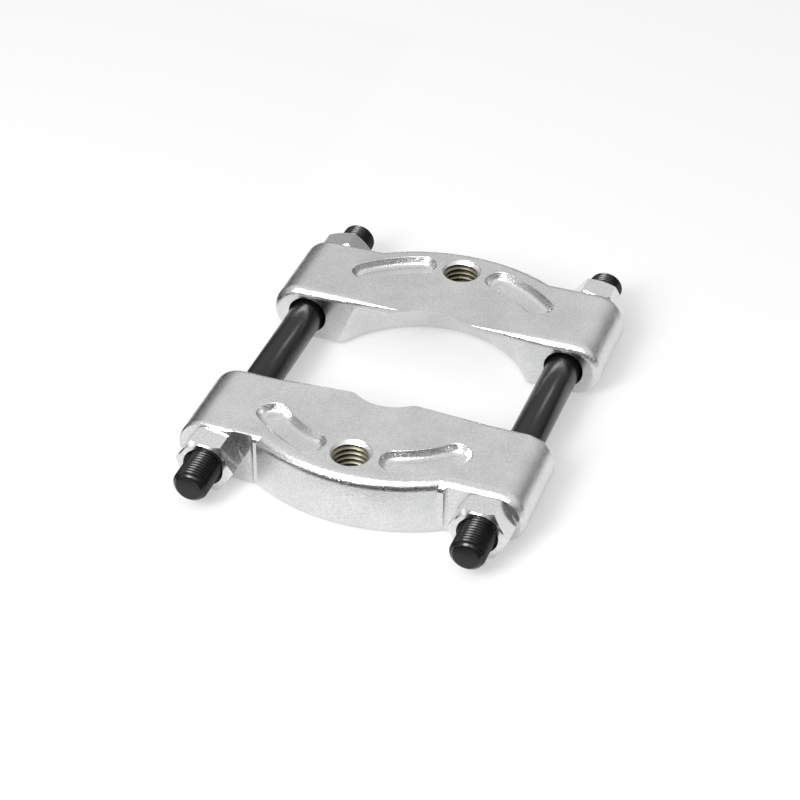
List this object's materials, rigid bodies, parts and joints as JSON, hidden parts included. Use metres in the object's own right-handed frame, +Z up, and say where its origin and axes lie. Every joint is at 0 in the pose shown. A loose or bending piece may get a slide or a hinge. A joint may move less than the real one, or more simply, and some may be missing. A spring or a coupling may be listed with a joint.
{
  "type": "bearing separator",
  "caption": "Two half jaws with knife-edged notches, drawn together on two threaded studs by hex nuts, to grip behind a bearing or gear.",
  "frame": {"origin": "under the middle of the tool, on the plane the jaws stand on", "axes": "+X along the jaws from stud to stud, +Y along the studs from the front jaw to the rear jaw, +Z up through the flat top faces"},
  "size_m": [0.14, 0.1874, 0.024],
  "materials": {
    "plated_jaw": "satin zinc plate over a forging",
    "black_stud": "black oxide, slightly oily",
    "plated_nut": "bright zinc plate"
  },
  "bodies": {
    "studs": {"left_stud": "black_stud", "right_stud": "black_stud"},
    "front_jaw": {"front_jaw": "plated_jaw"},
    "rear_jaw": {"rear_jaw": "plated_jaw"},
    "front_left_nut": {"nut_front_left": "plated_nut"},
    "front_right_nut": {"nut_front_right": "plated_nut"},
    "rear_left_nut": {"nut_rear_left": "plated_nut"},
    "rear_right_nut": {"nut_rear_right": "plated_nut"}
  },
  "joints": [
    {"name": "front_jaw_slide", "type": "slide", "parent": "studs", "child": "front_jaw", "axis": [0, -1, 0], "range_m": [-0.0285, 0.009]},
    {"name": "front_left_nut_spin", "type": "hinge", "parent": "front_jaw", "child": "front_left_nut", "pos_m": [-0.055, -0.07, 0.012], "axis": [0, -1, 0], "range_deg": [-6841, 2161]},
    {"name": "front_right_nut_spin", "type": "hinge", "parent": "front_jaw", "child": "front_right_nut", "pos_m": [0.055, -0.07, 0.012], "axis": [0, -1, 0], "range_deg": [-6841, 2161]},
    {"name": "rear_jaw_slide", "type": "slide", "parent": "studs", "child": "rear_jaw", "axis": [0, 1, 0], "range_m": [-0.0285, 0.009]},
    {"name": "rear_left_nut_spin", "type": "hinge", "parent": "rear_jaw", "child": "rear_left_nut", "pos_m": [-0.055, 0.07, 0.012], "axis": [0, 1, 0], "range_deg": [-6841, 2161]},
    {"name": "rear_right_nut_spin", "type": "hinge", "parent": "rear_jaw", "child": "rear_right_nut", "pos_m": [0.055, 0.07, 0.012], "axis": [0, 1, 0], "range_deg": [-6841, 2161]}
  ],
  "couplings": [
    {"joint": "front_left_nut_spin", "follows": "front_jaw_slide", "rad_per_m": 4188.8},
    {"joint": "front_right_nut_spin", "follows": "front_jaw_slide", "rad_per_m": 4188.8},
    {"joint": "rear_left_nut_spin", "follows": "rear_jaw_slide", "rad_per_m": 4188.8},
    {"joint": "rear_right_nut_spin", "follows": "rear_jaw_slide", "rad_per_m": 4188.8}
  ]
}
